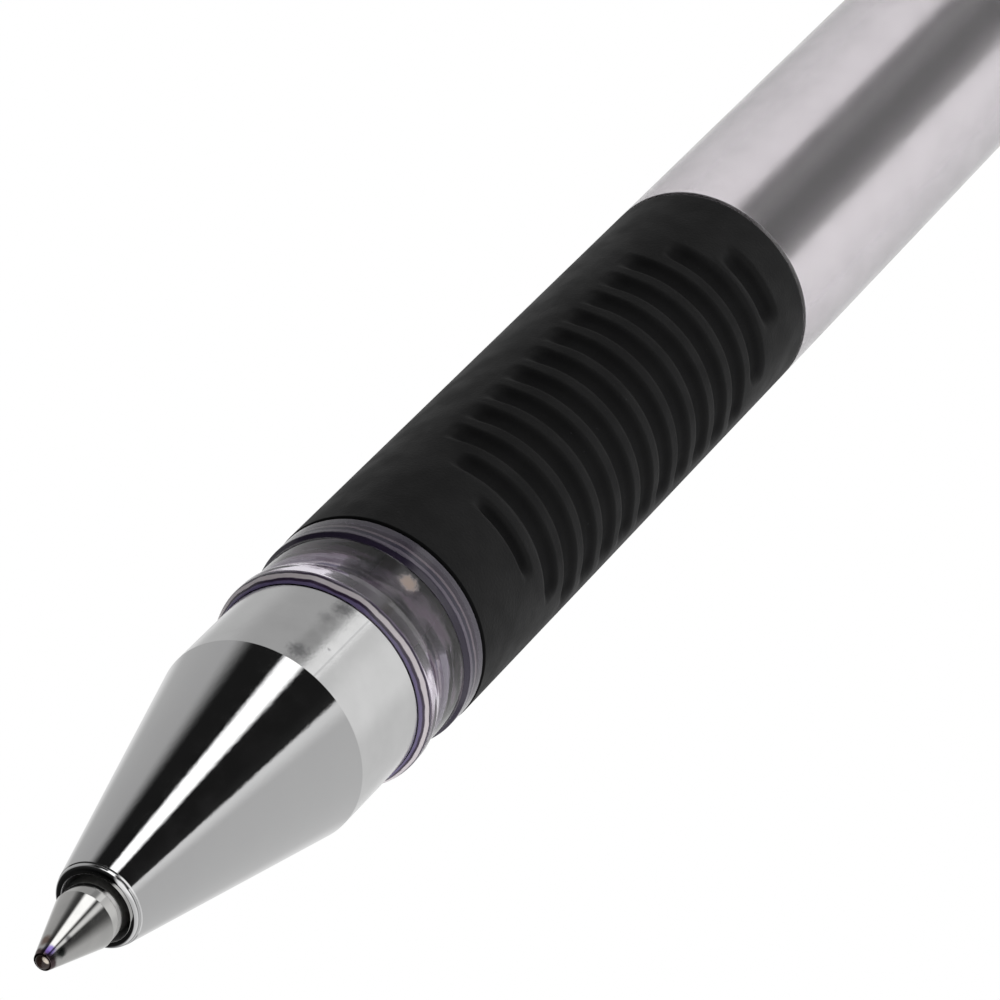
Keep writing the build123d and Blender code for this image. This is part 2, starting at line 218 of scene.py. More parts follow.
def turned(name, outline, segments=192, sharp_degrees=30):
    """A closed outline of (station, radius) in millimetres, revolved about X."""
    vertices = []
    rings = []
    for station, radius in with_guards(outline):
        if radius < 1e-6:
            rings.append([len(vertices)] * segments)
            vertices.append((station * MM, 0, 0))
            continue
        rings.append(list(range(len(vertices), len(vertices) + segments)))
        for step in range(segments):
            angle = 2 * pi * step / segments
            vertices.append((station * MM, radius * MM * cos(angle), radius * MM * sin(angle)))
    faces = []
    for index, ring in enumerate(rings):
        following = rings[(index + 1) % len(rings)]
        if ring[0] == ring[1] and following[0] == following[1]:
            continue
        for step in range(segments):
            ahead = (step + 1) % segments
            corners = [ring[step], ring[ahead], following[ahead], following[step]]
            faces.append(list(dict.fromkeys(corners)))
    return mesh_object(name, vertices, faces, sharp_degrees)


def finished(piece, body, nodes, slot, *materials):
    """Puts a piece on its body, in place of its CAD nodes, with its materials. The slot argument is
    not used.
    """
    for material in materials:
        piece.data.materials.append(material)
    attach(piece, body)
    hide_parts(*nodes)
    return piece


# ---- Materials ----------------------------------------------------------------------------------


class Finish:
    """A node material built round one Principled shader."""

    def __init__(self, name, **sockets):
        self.material = bpy.data.materials.new(name)
        self.material.use_nodes = True
        self.tree = self.material.node_tree
        self.shader = self.tree.nodes["Principled BSDF"]
        for socket, value in sockets.items():
            self.shader.inputs[socket.replace("_", " ")].default_value = value
        self.place = self.node("ShaderNodeTexCoord").outputs["Object"]

    def node(self, kind, **inputs):
        """A node with some of its inputs set or linked, by name."""
        made = self.tree.nodes.new(kind)
        for socket, value in inputs.items():
            self.feed(made.inputs[socket.replace("_", " ")], value)
        return made

    def feed(self, socket, value):
        """Links a socket to an output, or sets its value."""
        if isinstance(value, bpy.types.NodeSocket):
            self.tree.links.new(value, socket)
        else:
            socket.default_value = value

    def noise(self, size_mm, detail=2.0, stretch=(1, 1, 1)):
        """A noise from 0 to 1 with features of about this size."""
        mapping = self.node("ShaderNodeMapping", Vector=self.place, Scale=stretch)
        return self.node("ShaderNodeTexNoise", Vector=mapping.outputs[0], Scale=1 / (size_mm * MM),
                         Detail=detail).outputs["Fac"]

    def ramp(self, value, low, high, to_low=0.0, to_high=1.0):
        """Maps low..high of a value smoothly onto to_low..to_high."""
        made = self.tree.nodes.new("ShaderNodeMapRange")
        made.interpolation_type = "SMOOTHSTEP"
        for socket, given in zip(made.inputs, (value, low, high, to_low, to_high)):
            self.feed(socket, given)
        return made.outputs[0]

    def math(self, operation, first, second=0.0):
        """One arithmetic operation on two values."""
        made = self.tree.nodes.new("ShaderNodeMath")
        made.operation = operation
        self.feed(made.inputs[0], first)
        self.feed(made.inputs[1], second)
        return made.outputs[0]

    def mix(self, factor, first, second):
        """A colour between two colours."""
        made = self.tree.nodes.new("ShaderNodeMix")
        made.data_type = "RGBA"
        for socket, given in zip((made.inputs[0], made.inputs[6], made.inputs[7]),
                                 (factor, first, second)):
            self.feed(socket, given)
        return made.outputs[2]

    def station(self):
        """How far along the pen a point is, in metres."""
        return self.node("ShaderNodeSeparateXYZ", Vector=self.place).outputs["X"]

    def vector_math(self, operation, vector):
        """One operation on a point of the surface and a vector, giving a value."""
        made = self.tree.nodes.new("ShaderNodeVectorMath")
        made.operation = operation
        self.feed(made.inputs[0], self.place)
        made.inputs[1].default_value = vector
        return made.outputs["Value"]

    def off_axis(self):
        """How far a point is from the pen's axis, in metres."""
        parts = self.node("ShaderNodeSeparateXYZ", Vector=self.place)
        across, up = (self.math("POWER", parts.outputs[name], 2.0) for name in ("Y", "Z"))
        return self.math("SQRT", self.math("ADD", across, up))

    def spot(self, centre, inner_mm, outer_mm, ragged_mm):
        """1 within a distance of a point, falling to 0 at the outer one, with a ragged edge."""
        ragged = self.math("MULTIPLY", self.noise(0.15, 3.0), 2 * ragged_mm * MM)
        away = self.math("ADD", self.vector_math("DISTANCE", centre), ragged)
        return self.ramp(away, (inner_mm + ragged_mm) * MM, (outer_mm + ragged_mm) * MM, 1.0, 0.0)

    def set(self, socket, value):
        """Sets or links one of the shader's inputs."""
        self.feed(self.shader.inputs[socket], value)

    def bump(self, height, distance_mm):
        """Raises the surface by a height from 0 to 1 times the distance."""
        made = self.node("ShaderNodeBump", Height=height, Distance=distance_mm * MM, Strength=1.0)
        self.set("Normal", made.outputs[0])


def on_pen(station, radius, angle):
    """A point in metres, at an angle round the pen from TOWARDS towards ACROSS."""
    turn = radians(angle)
    return (Vector((station, 0, 0)) + (TOWARDS * cos(turn) + ACROSS * sin(turn)) * radius) * MM


def chrome():
    """Bright chrome plate, with tiny waves that make its reflections' edges ragged."""
    finish = Finish("chrome_plate", Metallic=1.0)
    finish.bump(finish.noise(0.35, 2.5, (1.0, 1.6, 1.6)), 0.0018)
    finish.set("Roughness", finish.ramp(finish.noise(0.8), 0.3, 0.7, 0.03, 0.07))
    finish.set("Base Color", finish.mix(finish.noise(2.0), (0.69, 0.69, 0.695, 1),
                                        (0.72, 0.72, 0.72, 1)))
    return finish.material


def satin_chrome():
    """The nose's rear band: chrome over a finely ground surface, with stains and a fine dark
    reflection painted along it.
    """
    finish = Finish("satin_chrome", Metallic=1.0)
    finish.bump(finish.noise(0.12, 3.0), 0.003)
    finish.set("Roughness", finish.ramp(finish.noise(0.5, 3.0), 0.3, 0.7, 0.11, 0.19))
    colour = finish.mix(finish.noise(1.2, 2.0), (0.70, 0.70, 0.70, 1), (0.80, 0.80, 0.80, 1))
    stain_and_reflection_tone = (0.30, 0.30, 0.31, 1)
    for station, angle, inner, outer, share in STAINS:
        spot = finish.spot(on_pen(station, BAND_RADIUS, angle), inner, outer, outer / 2)
        colour = finish.mix(finish.math("MULTIPLY", spot, share), colour, stain_and_reflection_tone)
    # A painted reflection: a fine dark line along the band, near its side that faces TOWARDS, in the
    # stains' colour.
    beside_line = radians(4)
    across = finish.vector_math("DOT_PRODUCT",
                                ACROSS * cos(beside_line) + TOWARDS * sin(beside_line))
    line = finish.ramp(finish.math("ABSOLUTE", across), 0.01 * MM, 0.07 * MM, 0.3, 0.0)
    finish.set("Base Color", finish.mix(line, colour, stain_and_reflection_tone))
    return finish.material


def ground_bore():
    """The unpolished inside of the nose's mouth."""
    finish = Finish("ground_bore", Metallic=0.6)
    finish.bump(finish.noise(0.1, 3.0), 0.004)
    finish.set("Roughness", finish.ramp(finish.noise(0.3), 0.3, 0.7, 0.4, 0.55))
    finish.set("Base Color", finish.mix(finish.noise(0.4), (0.34, 0.34, 0.34, 1),
                                        (0.50, 0.50, 0.50, 1)))
    return finish.material


def nickel():
    """Turned nickel silver: fine rings round the tip, and ink smeared behind the ball."""
    finish = Finish("nickel_silver", Metallic=1.0)
    rings = finish.noise(0.05, 2.0, (1.0, 0.08, 0.08))
    finish.bump(rings, 0.0006)
    finish.set("Roughness", finish.ramp(finish.noise(0.4), 0.3, 0.7, 0.07, 0.13))
    colour = finish.mix(finish.noise(0.9), (0.58, 0.58, 0.57, 1), (0.70, 0.69, 0.67, 1))
    # Brown and green tarnish on the cone, a dark gap in its rings, and violet ink near the rim
    brown = finish.spot(on_pen(0.85, 0.59, -60), 0.10, 0.36, 0.08)
    colour = finish.mix(brown, colour, (0.27, 0.20, 0.17, 1))
    green = finish.spot(on_pen(0.78, 0.57, 27), 0.08, 0.30, 0.08)
    colour = finish.mix(green, colour, (0.07, 0.08, 0.075, 1))
    gap = finish.math("MULTIPLY", finish.spot(on_pen(1.32, 0.73, 5), 0.02, 0.20, 0.04), 0.8)
    colour = finish.mix(gap, colour, (0.10, 0.10, 0.11, 1))
    violet = finish.spot(on_pen(0.50, 0.47, -16), 0.12, 0.30, 0.05)
    colour = finish.mix(violet, colour, (0.20, 0.15, 0.38, 1))
    wander = finish.math("MULTIPLY", finish.noise(0.2), 0.2 * MM)
    worn = finish.math("ADD", finish.station(), wander)
    inked = finish.ramp(worn, 0.46 * MM, 0.62 * MM, 1.0, 0.0)
    ink = finish.mix(finish.noise(0.25, 3.0), (0.05, 0.03, 0.03, 1), (0.22, 0.17, 0.18, 1))
    ink = finish.mix(violet, ink, (0.12, 0.07, 0.26, 1))
    finish.set("Base Color", finish.mix(inked, colour, ink))
    return finish.material


def inked_ball():
    """The carbide ball under a wet brown-black film, with a cream highlight painted on it."""
    finish = Finish("inked_ball", Metallic=0.0, Roughness=0.25)
    film = finish.mix(finish.noise(0.12, 3.0), (0.010, 0.004, 0.003, 1), (0.05, 0.032, 0.027, 1))
    # A painted highlight: a stretched cream patch round the ball's point nearest the camera.
    along = (VIEW_RIGHT - VIEW_UP).normalized()
    beside = (VIEW_RIGHT + VIEW_UP).normalized()
    nearest = Vector((BALL_RADIUS, 0, 0)) - VIEW * BALL_RADIUS
    centre = (nearest + along * 0.04 + beside * 0.05) * MM
    squares = []
    for direction, half_width in ((along, 0.17), (beside, 0.08)):
        off = finish.math("SUBTRACT", finish.vector_math("DOT_PRODUCT", direction),
                          centre.dot(direction))
        squares.append(finish.math("POWER", finish.math("DIVIDE", off, half_width * MM), 2.0))
    painted_glint = finish.ramp(finish.math("ADD", *squares), 0.35, 1.3, 1.0, 0.0)
    finish.set("Base Color", finish.mix(painted_glint, film, (0.93, 0.83, 0.70, 1)))
    finish.bump(finish.noise(0.08), 0.002)
    return finish.material


def clear_plastic(name, tint, roughness):
    """Clear plastic with a faint tint and the slight ripple of a moulded wall."""
    finish = Finish(name, Transmission_Weight=1.0, IOR=1.53)
    deeper = tuple(part * 0.985 for part in tint[:3]) + (1,)
    finish.set("Base Color", finish.mix(finish.noise(6.0), tint, deeper))
    finish.set("Roughness", finish.ramp(finish.noise(2.0), 0.3, 0.7, roughness, roughness * 1.5))
    finish.bump(finish.noise(1.5, 1.0), 0.003)
    return finish.material


def milky_tube():
    """The refill's translucent tube, with shade painted as a dark band along it, on its side that
    faces TOWARDS and on the opposite side.
    """
    finish = Finish("tube_wall", Transmission_Weight=0.5, IOR=1.35, Roughness=0.35)
    # Painted shade: darker near a plane along the pen through TOWARDS, 0.2 mm off the axis towards
    # ACROSS.
    across = finish.math("SUBTRACT", finish.vector_math("DOT_PRODUCT", ACROSS), 0.2 * MM)
    beside = finish.ramp(finish.math("ABSOLUTE", across), 0.35 * MM, 1.2 * MM)
    milky = finish.mix(finish.noise(2.5, 3.0), (0.31, 0.305, 0.31, 1), (0.37, 0.365, 0.37, 1))
    finish.set("Base Color", finish.mix(beside, (0.085, 0.085, 0.087, 1), milky))
    finish.bump(finish.noise(1.5, 1.0), 0.003)
    return finish.material


def clear_collar():
    """The collar's clear plastic, with streaks round it and one small pinkish highlight painted on
    it.
    """
    finish = Finish("clear_collar", IOR=1.53)
    streaks = finish.ramp(finish.noise(0.7, 4.0, (1.0, 0.25, 0.25)), 0.46, 0.62)
    # A painted highlight: a small pinkish spot on the neck, less clear than the rest of the plastic.
    painted_pink_glint = finish.spot(on_pen(24.55, 4.8, -3), 0.15, 0.66, 0.22)
    streaks_and_glint = finish.math("MAXIMUM", painted_pink_glint, finish.math("MULTIPLY", streaks, 0.5))
    finish.set("Transmission Weight", finish.ramp(streaks_and_glint, 0.0, 1.0, 1.0, 0.45))
    tint = finish.mix(finish.noise(1.2, 3.0), (0.86, 0.80, 0.91, 1), (0.84, 0.81, 0.86, 1))
    tint = finish.mix(streaks, tint, (0.34, 0.26, 0.34, 1))
    finish.set("Base Color", finish.mix(painted_pink_glint, tint, (0.80, 0.62, 0.52, 1)))
    finish.set("Roughness", finish.ramp(finish.noise(1.0, 2.0), 0.3, 0.7, 0.01, 0.05))
    finish.bump(finish.noise(0.5, 2.0, (1.0, 0.12, 0.12)), 0.007)
    return finish.material


# Rings seen in the collar's bead and rim: how far behind its front each one begins, and its colour
BEAD_RINGS = ((0.0, (0.20, 0.16, 0.32, 1)), (0.10, (0.05, 0.03, 0.07, 1)),
              (0.20, (0.96, 0.88, 0.92, 1)), (0.36, (0.06, 0.045, 0.08, 1)),
              (0.45, (0.30, 0.25, 0.34, 1)))
RIM_RINGS = ((0.0, (0.06, 0.045, 0.09, 1)), (0.25, (0.28, 0.24, 0.32, 1)),
             (0.42, (0.05, 0.04, 0.09, 1)), (0.62, (0.34, 0.28, 0.34, 1)),
             (0.75, (0.08, 0.06, 0.10, 1)), (1.0, (0.16, 0.14, 0.19, 1)))


def collar_rings(name, front, rings, clarity):
    """Where light piped along the collar's wall shows as bright and dark rings."""
    finish = Finish(name, Transmission_Weight=clarity, IOR=1.53, Roughness=0.12)
    wander = finish.math("MULTIPLY", finish.math("SUBTRACT", finish.noise(1.6, 3.0), 0.5), 0.22 * MM)
    place = finish.math("ADD", finish.station(), wander)
    soft = 0.02 * MM
    colour = rings[0][1]
    for offset, ring in rings[1:]:
        begin = (front + offset) * MM
        reached = finish.ramp(place, begin - soft, begin + soft)
        colour = finish.mix(reached, colour, ring)
    finish.set("Base Color", colour)
    finish.bump(finish.noise(0.3, 2.0, (1.0, 0.2, 0.2)), 0.004)
    return finish.material


def rubber(name, shine):
    """Matte black moulded rubber with a fine grain and a few lighter specks of dust."""
    finish = Finish(name, Specular_IOR_Level=shine)
    grain = finish.noise(0.12, 4.0)
    finish.bump(finish.math("ADD", grain, finish.math("MULTIPLY", finish.noise(0.6), 0.3)), 0.014)
    groove = finish.ramp(finish.off_axis(), (GRIP_RADIUS - 0.22) * MM,
                         (GRIP_RADIUS - 0.015) * MM, 0.3, 0.0)
    finish.set("Roughness", finish.math("ADD", finish.ramp(finish.noise(1.5), 0.3, 0.7, 0.5, 0.6),
                                        groove))
    dust = finish.ramp(finish.noise(0.22, 1.0), 0.78, 0.84)
    colour = finish.mix(finish.noise(3.0, 3.0), (0.003, 0.003, 0.0032, 1), (0.006, 0.006, 0.0063, 1))
    finish.set("Base Color", finish.mix(dust, colour, (0.022, 0.022, 0.024, 1)))
    return finish.material


def moulded(name, dark, light, roughness, translucent=0.0):
    """Plain moulded plastic with a faint flow pattern."""
    finish = Finish(name, Transmission_Weight=translucent, IOR=1.49)
    finish.set("Base Color", finish.mix(finish.noise(2.5, 3.0), dark, light))
    finish.set("Roughness", finish.ramp(finish.noise(1.0), 0.3, 0.7, roughness, roughness + 0.08))
    finish.bump(finish.noise(0.3, 2.0), 0.004)
    return finish.material


# ---- Pieces -------------------------------------------------------------------------------------


def make_refill():
    """Ball, metal tip, holder, tube, ink and follower."""
    steps = 24
    turns = [pi * step / steps for step in range(steps + 1)]
    arc = [(BALL_RADIUS * (1 - cos(turn)), BALL_RADIUS * sin(turn)) for turn in turns]
    finished(turned("ink_wet_ball", arc, 64), "ball", ["writing_ball"], "carbide", inked_ball())
    socket = [(1.2, THROAT_RADIUS, 0), (0.72, THROAT_RADIUS, 0), (0.60, 0.28, 0),
              (BALL_RADIUS, 0.37, 0), (TIP_FRONT, 0.338, 0)]
    rim = [(TIP_FRONT, 0.385, 0.02), (TIP_FRONT + 0.28, 0.478, 0.08)]
    tip = filleted(socket + rim + [
        (SHANK_START, SHANK_RADIUS, 0.05), (HOLDER_FRONT, SHANK_RADIUS, 0.05),
        (HOLDER_FRONT, STEM_RADIUS, 0), (TIP_REAR, STEM_RADIUS, 0),
        (TIP_REAR, INK_BORE, 0), (INK_BORE_START, INK_BORE, 0), (3.4, FEED_RADIUS, 0),
        (1.3, FEED_RADIUS, 0)])
    finished(turned("metal_tip", tip, 192, 20), "refill", ["tip_body"], "nickel", nickel())
    milky = moulded("natural_plastic", (0.78, 0.78, 0.77, 1), (0.85, 0.85, 0.83, 1), 0.3, 0.25)
    holder = filleted([
        (HOLDER_FRONT, STEM_RADIUS, 0), (HOLDER_FRONT, 1.68, 0.12),
        (HOLDER_SHOULDER, FLANGE_RADIUS, 0.1), (TUBE_FRONT, FLANGE_RADIUS, 0.1),
        (TUBE_FRONT, HOLDER_SPIGOT, 0), (HOLDER_REAR, HOLDER_SPIGOT, 0.25),
        (HOLDER_REAR, HOLDER_BORE, 0), (TIP_REAR, HOLDER_BORE, 0), (TIP_REAR, STEM_RADIUS, 0)])
    finished(turned("tip_adapter", holder, 96), "refill", ["tip_holder"], "natural_plastic", milky)
    tube = filleted([
        (TUBE_FRONT, INK_RADIUS + PRESSED, 0), (TUBE_FRONT, TUBE_RADIUS, 0.05),
        (TUBE_REAR, TUBE_RADIUS, 0.1), (TUBE_REAR, INK_RADIUS + PRESSED, 0.1)])
    wall = milky_tube()
    finished(turned("refill_tube_wall", tube, 128), "refill", ["refill_tube"], "tube_plastic", wall)
    wet = INK_RADIUS + 0.03     # just into the tube's wall, so that no air shows between them
    ink = [(INK_BORE_START, 0), (INK_BORE_START, INK_BORE - PRESSED),
           (TIP_REAR, INK_BORE - PRESSED), (TIP_REAR, HOLDER_BORE - PRESSED),
           (HOLDER_REAR, HOLDER_BORE - PRESSED), (HOLDER_REAR, wet), (INK_REAR, wet), (INK_REAR, 0)]
    black = moulded("black_ink", (0.010, 0.009, 0.014, 1), (0.016, 0.014, 0.022, 1), 0.25)
    finished(turned("ink_fill", ink, 128), "refill", ["ink_column"], "black_ink", black)
    grease = [(FOLLOWER_FRONT, 0), (FOLLOWER_FRONT, wet), (FOLLOWER_REAR - 0.5, wet),
              (FOLLOWER_REAR - 0.9, 0.6), (FOLLOWER_REAR - 1.0, 0)]
    amber = moulded("follower_grease", (0.80, 0.72, 0.50, 1), (0.86, 0.80, 0.60, 1), 0.15, 0.6)
    finished(turned("follower_plug", grease, 128), "refill", ["ink_follower"], "follower_grease",
             amber)


def make_nose():
    """The chromed nose cone: rolled mouth, cone, sharp edge and plain band."""
    lip = [(NOSE_FRONT, MOUTH_BORE, 0.05), (NOSE_FRONT, 1.815, 0.2)]
    lip_groove = [(NOSE_FRONT + 0.22, 1.85, 0.03), (NOSE_FRONT + 0.26, 1.842, 0.02),
                  (NOSE_FRONT + 0.31, 1.888, 0.015)]
    inside = [(NOSE_REAR, THREAD_BORE, 0), (THREAD_BORE_START, THREAD_BORE, 0),
              (INNER_CONE_END, INNER_CONE_END_RADIUS, 0),
              (INNER_CONE_START, INNER_CONE_START_RADIUS, 0), (MOUTH_BORE_END, MOUTH_BORE, 0)]
    cone_and_band = [(CONE_EDGE, BAND_RADIUS, 0.04), (NOSE_REAR, BAND_RADIUS, 0.06)]
    outline = filleted(lip + lip_groove + cone_and_band + inside)
    piece = turned("chromed_nose", outline, 320, 12)
    finished(piece, "nose", ["nose_cone"], "chrome", chrome(), satin_chrome(), ground_bore())
    cone_index, band_index, bore_index = range(3)
    for face in piece.data.polygons:
        if face.center.yz.length < (MOUTH_BORE + 0.02) * MM:
            face.material_index = bore_index
        elif face.center.x > (CONE_EDGE + 0.01) * MM:
            face.material_index = band_index
        else:
            face.material_index = cone_index


def make_barrel():
    """The clear barrel with its spigot, collar, grip seat and post."""
    bead = COLLAR_FRONT + 0.72
    neck = COLLAR_FRONT + 1.45
    rim = GRIP_FRONT - 1.385
    spigot = [(SPIGOT_FRONT, FRONT_BORE, 0), (SPIGOT_FRONT, PILOT_RADIUS, 0.1),
              (PILOT_END, PILOT_RADIUS, 0), (PILOT_END + 0.2, THREAD_ROOT, 0),
              (COLLAR_FRONT, THREAD_ROOT, 0)]
    collar = [(COLLAR_FRONT, 4.66, 0.1), (bead - 0.3, COLLAR_RADIUS, 0.4), (bead + 0.3, 4.95, 0.3),
              (neck, NECK_RADIUS, 0.2), (rim, NECK_RADIUS, 0.15), (rim + 0.2, COLLAR_RADIUS, 0.1),
              (GRIP_FRONT, COLLAR_RADIUS, 0.1)]
    seat = [(GRIP_FRONT, GRIP_SEAT - SEAT_GAP, 0), (GRIP_REAR, GRIP_SEAT - SEAT_GAP, 0)]
    shaft = [(GRIP_REAR, PEN_RADIUS - GRIP_EDGE, 0.05), (GRIP_REAR + GRIP_EDGE, PEN_RADIUS, 0.1),
             (POST_SHOULDER, PEN_RADIUS, 0.2), (POST_SHOULDER + 0.2, POST_RADIUS, 0.1),
             (BARREL_REAR, POST_RADIUS, 0.2)]
    bore = [(BARREL_REAR, MAIN_BORE, 0.1), (GRIP_REAR - 0.2, MAIN_BORE, 0.5),
            (GRIP_REAR - 5.0, GRIP_BORE, 2.0), (GRIP_BORE_START, GRIP_BORE, 0.5),
            (COLLAR_BORE_END, COLLAR_BORE, 0.3), (COLLAR_BORE_START, COLLAR_BORE, 0.2),
            (FRONT_BORE_END, FRONT_BORE, 0.2)]
    outline = filleted(spigot + collar + seat + shaft + bore)
    piece = turned("clear_barrel", outline, 256, 40)
    finished(piece, "barrel", ["barrel"], "clear_plastic",
             clear_collar(),
             clear_plastic("clear_tube", (0.726, 0.682, 0.716, 1), 0.12),
             clear_plastic("clear_bore", (0.99, 0.99, 0.99, 1), 0.12),
             collar_rings("bead_rings", COLLAR_FRONT, BEAD_RINGS, 0.3),
             collar_rings("rim_rings", rim, RIM_RINGS, 0.55))
    collar_index, tube_index, bore_index, bead_index, rim_index = range(5)
    tube_start = 40
    for face in piece.data.polygons:
        station, radius = face.center.x / MM, face.center.yz.length / MM
        face.material_index = collar_index
        if station > tube_start:
            face.material_index = bore_index if radius < MAIN_BORE + 0.05 else tube_index
        elif station < COLLAR_FRONT + 0.5 and radius > BAND_RADIUS + 0.02:
            face.material_index = bead_index
        elif station > rim and radius > GRIP_SEAT + 0.4:
            face.material_index = rim_index


def smooth(value):
    """A smooth step from 0 to 1 over the same range."""
    value = min(max(value, 0), 1)
    return value * value * (3 - 2 * value)


def groove_depth(station, angle):
    """How deep a finger pad is at a station and an angle from straight up towards -Y."""
    place = (station - FIRST_GROOVE) / GROOVE_PITCH
    index = round(place)
    if not -1 < place < GROOVE_COUNT:
        return 0.0
    off_pad = min(abs((angle - PAD_ANGLE - turn + 180) % 360 - 180) for turn in (0, 180))
    half_angle = END_HALF_ANGLES.get(index, PAD_HALF_ANGLE)
    along_groove = smooth((half_angle + 5 - off_pad) / GROOVE_END_FADE)
    width = FIRST_GROOVE_WIDTH if index == 0 else GROOVE_WIDTH
    off_middle = abs(place - index) * GROOVE_PITCH / (width / 2)
    groove = GROOVE_DEPTH * along_groove * smooth((GROOVE_FOOT - off_middle) / GROOVE_SIDE)
    if not 0 <= index < GROOVE_COUNT:
        groove = 0.0
    from_ends = min(place, GROOVE_COUNT - 1 - place)
    recess = PAD_RECESS * smooth((PAD_HALF_ANGLE + 4 - off_pad) / PAD_SIDE_FADE)
    return max(groove, recess * smooth((from_ends - 0.3) / 1.2))


def make_grip():
    """The rubber sleeve, with its two pads of grooves as real hollows."""
    around, along, edge_steps = 300, 380, 6
    turns = [pi / 2 * step / edge_steps for step in range(edge_steps + 1)]
    edge = [(GRIP_EDGE * (1 - sin(turn)), GRIP_EDGE * (1 - cos(turn))) for turn in turns]
    outline = [(GRIP_REAR, GRIP_SEAT), (GRIP_FRONT, GRIP_SEAT)]
    outline += [(GRIP_FRONT + back, GRIP_RADIUS - down) for back, down in reversed(edge)]
    first, last = GRIP_FRONT + GRIP_EDGE, GRIP_REAR - GRIP_EDGE
    outline += [(first + (last - first) * step / along, GRIP_RADIUS) for step in range(1, along)]
    outline += [(GRIP_REAR - back, GRIP_RADIUS - down) for back, down in edge]
    piece = turned("rubber_grip", outline, around, 50)
    for vertex in piece.data.vertices:
        place = vertex.co / MM
        radius = Vector((place.y, place.z)).length
        if radius > GRIP_RADIUS - 0.001:
            angle = degrees(atan2(-place.y, place.z))
            shrink = 1 - groove_depth(place.x, angle) / GRIP_RADIUS
            vertex.co.y *= shrink
            vertex.co.z *= shrink
    finished(piece, "barrel", ["grip_sleeve"], "black_rubber", rubber("black_rubber", 0.2),
             rubber("rubber_front_lip", 0.03))
    for face in piece.data.polygons:
        face.material_index = int(face.center.x < (GRIP_FRONT + GRIP_EDGE) * MM)


def make_plug():
    """The vented plug in the barrel's rear end."""
    outline = filleted([
        (PLUG_FRONT, PLUG_VENT, 0), (PLUG_FRONT, 3.6, 0.2),
        (PLUG_FRONT + 0.6, MAIN_BORE - PRESSED, 0.2),
        (BARREL_REAR + PRESSED, MAIN_BORE - PRESSED, 0),
        (BARREL_REAR + PRESSED, PLUG_RADIUS, 0.15),
        (PLUG_REAR, PLUG_RADIUS, 0.7), (PLUG_REAR, PLUG_VENT, 0.15)])
    black = moulded("black_plug", (0.010, 0.010, 0.011, 1), (0.016, 0.016, 0.017, 1), 0.18)
    finished(turned("rear_plug", outline, 128), "barrel", ["end_plug"], "black_plastic", black)


def make_cap():
    """The posted cap: clear shell, soft inner cap and vented black crown."""
    web_rear, web_front = INNER_REAR - 1.0, INNER_REAR - 2.5
    inner_hole = INNER_RADIUS + 0.02
    snap_radius = POST_RADIUS + 0.08
    snap_ring = [(CAP_FRONT + 1.7, CAP_BORE, 0.1), (CAP_FRONT + 1.4, snap_radius, 0.15),
                 (CAP_FRONT + 0.8, snap_radius, 0.15), (CAP_FRONT + 0.5, CAP_BORE, 0.1)]
    shell = filleted([
        (CAP_FRONT, CAP_BORE, 0.1), (CAP_FRONT, CAP_RADIUS, 0.25), (CAP_REAR, CROWN_RADIUS, 0.06),
        (CAP_REAR, POCKET_RADIUS, 0), (web_rear, POCKET_RADIUS, 0), (web_rear, inner_hole, 0),
        (web_front, inner_hole, 0.2), (web_front, CAP_BORE, 0.5), *snap_ring])
    clear = clear_plastic("clear_cap", (0.92, 0.89, 0.95, 1), 0.01)
    finished(turned("clear_cap_shell", shell, 192, 40), "cap", ["cap_shell"], "clear_plastic", clear)
    pressed_radius = POCKET_RADIUS - PRESSED
    flange_front = web_rear - PRESSED
    core_front, seal_bottom = INNER_FRONT + 4.2, INNER_FRONT + 2.45
    inner = filleted([
        (INNER_FRONT, SEAL_RADIUS, 0.1), (INNER_FRONT, INNER_RADIUS, 0.25),
        (flange_front, INNER_RADIUS, 0), (flange_front, pressed_radius, 0),
        (INNER_REAR, pressed_radius, 0), (INNER_REAR, CORE_RADIUS, 0),
        (core_front, CORE_RADIUS, 0.3), (core_front, 0, 0), (seal_bottom, 0, 0),
        (seal_bottom, 1.3, 0), (seal_bottom - 0.6, SEAL_RADIUS, 0)])
    soft = moulded("soft_inner_cap", (0.74, 0.74, 0.74, 1), (0.82, 0.82, 0.81, 1), 0.35, 0.2)
    finished(turned("soft_inner_cap", inner, 128), "cap", ["inner_cap"], "natural_plastic", soft)
    crown_front = CAP_REAR + 0.02
    crown = filleted([
        (CROWN_FRONT, CROWN_VENT, 0), (CROWN_FRONT, pressed_radius, 0),
        (crown_front, pressed_radius, 0), (crown_front, CROWN_RADIUS, 0.08),
        (CROWN_REAR, CROWN_RADIUS, 1.3), (CROWN_REAR, CROWN_VENT, 0.2)])
    black = moulded("black_crown", (0.010, 0.010, 0.011, 1), (0.016, 0.016, 0.017, 1), 0.16)
    finished(turned("vented_crown", crown, 160), "cap", ["cap_crown"], "black_plastic", black)


def polish_clip():
    """The clip keeps its CAD shape, with softened edges."""
    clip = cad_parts["pocket_clip"]
    finish = Finish("clip_chrome", Metallic=1.0)
    finish.bump(finish.noise(0.5, 3.0), 0.003)
    finish.set("Roughness", finish.ramp(finish.noise(1.0), 0.3, 0.7, 0.05, 0.10))
    finish.set("Base Color", finish.mix(finish.noise(3.0), (0.70, 0.70, 0.70, 1),
                                        (0.76, 0.76, 0.77, 1)))
    clip.data.materials.clear()
    clip.data.materials.append(finish.material)
    bevel = clip.modifiers.new("softened_edges", "BEVEL")
    bevel.width = 0.12 * MM
    bevel.segments = 3
    bevel.limit_method = "ANGLE"
    bevel.harden_normals = True


# ---- Studio -------------------------------------------------------------------------------------


